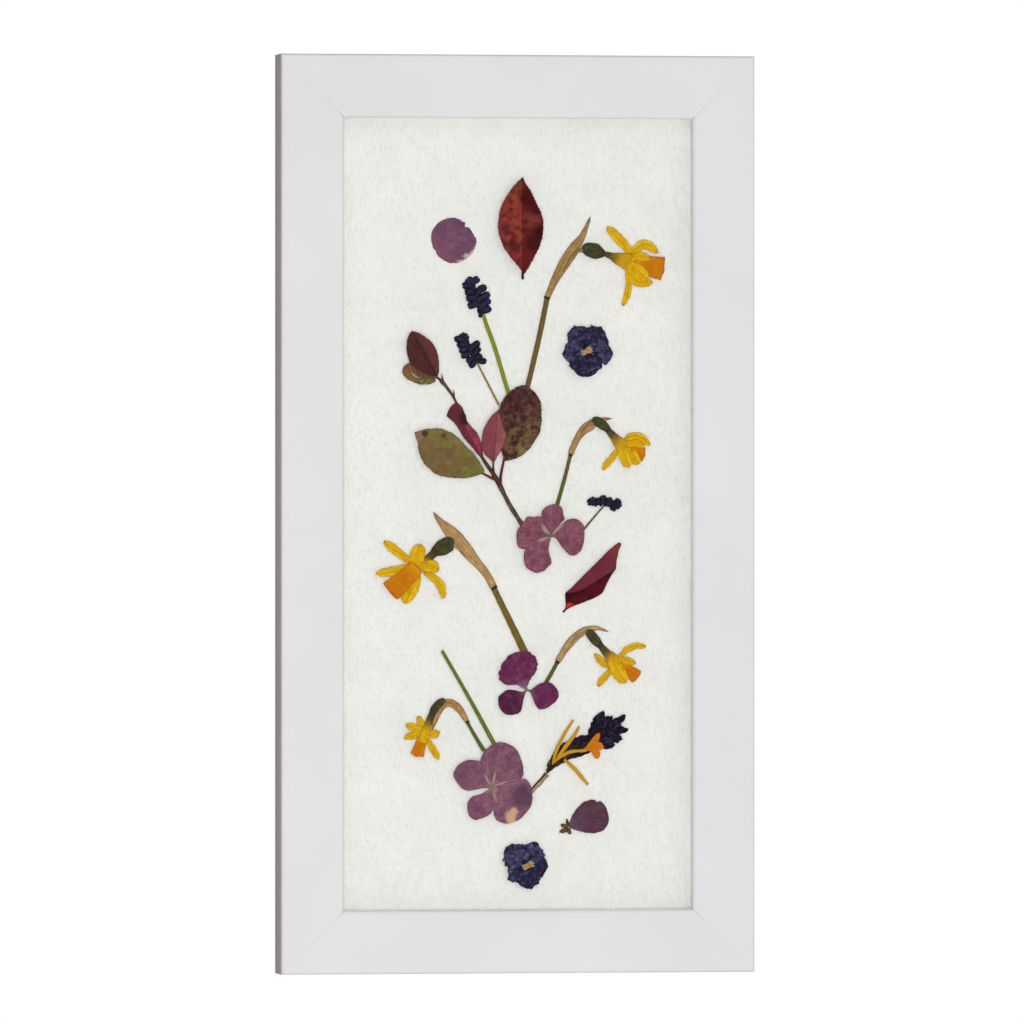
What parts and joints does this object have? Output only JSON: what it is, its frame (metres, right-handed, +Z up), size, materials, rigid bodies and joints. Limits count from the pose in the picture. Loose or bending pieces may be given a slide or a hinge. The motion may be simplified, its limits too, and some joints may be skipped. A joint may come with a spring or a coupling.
{
  "type": "pressed flower frame",
  "caption": "White wooden picture frame holding dried pressed flowers and leaves on textured paper behind glass, hung by a sawtooth wall hanger.",
  "frame": {"origin": "notch of the sawtooth wall hanger in which the wall's nail sits, behind the middle of the top rail", "axes": "+Z up along the frame's height, +X to the right as seen from the front, +Y towards the wall, so the glass faces -Y"},
  "size_m": [0.296, 0.0312, 0.566],
  "materials": {
    "white_paint": "satin white paint on wood",
    "glass": "clear polished float glass",
    "spacer": "matte white plastic strip",
    "paper": "embossed cream watercolour paper",
    "board": "brown pressed fibre board",
    "tab_steel": "bare thin steel",
    "zinc": "zinc plated steel",
    "nail": "zinc plated steel",
    "narcissus_stem": "dried olive green stem",
    "spathe": "papery tan spathe",
    "narcissus_flower": "dried yellow and orange petals",
    "muscari_head": "dried blue-black florets",
    "muscari_stem": "dried thin green stem",
    "viola": "crinkled dark violet petals",
    "hydrangea": "dried mauve sepals",
    "bark": "dark woody twig",
    "maroon_leaf": "pressed maroon leaf",
    "olive_leaf": "pressed spotted olive leaf",
    "red_leaf": "pressed red leaf",
    "burgundy_leaf": "pressed folded burgundy leaf",
    "mauve_petal": "pressed mauve petal",
    "dark_petal": "pressed dark plum petal",
    "green_stem": "dried green stem",
    "crocus_stem": "dried tan stem",
    "crocus_flower": "withered dark violet petals with yellow stamens"
  },
  "bodies": {
    "root": {"frame_rail_top": "white_paint", "frame_rail_bottom": "white_paint", "frame_rail_left": "white_paint", "frame_rail_right": "white_paint", "glass_pane": "glass", "spacer_top": "spacer", "spacer_bottom": "spacer", "spacer_left": "spacer", "spacer_right": "spacer", "paper_sheet": "paper", "backing_board": "board", "retaining_tab_1": "tab_steel", "retaining_tab_2": "tab_steel", "retaining_tab_3": "tab_steel", "retaining_tab_4": "tab_steel", "retaining_tab_5": "tab_steel", "retaining_tab_6": "tab_steel", "wall_hanger": "zinc", "hanger_nail_left": "nail", "hanger_nail_right": "nail", "narcissus_1_stem": "narcissus_stem", "narcissus_1_spathe": "spathe", "narcissus_1_flower": "narcissus_flower", "narcissus_2_stem": "narcissus_stem", "narcissus_2_spathe": "spathe", "narcissus_2_flower": "narcissus_flower", "narcissus_3_stem": "narcissus_stem", "narcissus_3_spathe": "spathe", "narcissus_3_flower": "narcissus_flower", "narcissus_4_stem": "narcissus_stem", "narcissus_4_spathe": "spathe", "narcissus_4_flower": "narcissus_flower", "narcissus_5_stem": "narcissus_stem", "narcissus_5_spathe": "spathe", "narcissus_5_flower": "narcissus_flower", "muscari_1_head": "muscari_head", "muscari_1_stem": "muscari_stem", "muscari_2_head": "muscari_head", "muscari_2_stem": "muscari_stem", "muscari_3_head": "muscari_head", "muscari_3_stem": "muscari_stem", "viola_1": "viola", "viola_2": "viola", "hydrangea_1": "hydrangea", "hydrangea_2": "hydrangea", "hydrangea_3": "hydrangea", "sprig_stem": "bark", "sprig_leaf_tip": "maroon_leaf", "sprig_leaf_maroon": "maroon_leaf", "sprig_leaf_rose": "maroon_leaf", "sprig_leaf_olive": "olive_leaf", "sprig_leaf_spotted": "olive_leaf", "sprig_leaf_bud": "olive_leaf", "red_leaf": "red_leaf", "burgundy_leaf": "burgundy_leaf", "mauve_petal": "mauve_petal", "dark_petal": "dark_petal", "green_stem": "green_stem", "crocus_stem": "crocus_stem", "crocus_flower": "crocus_flower"}
  },
  "joints": []
}
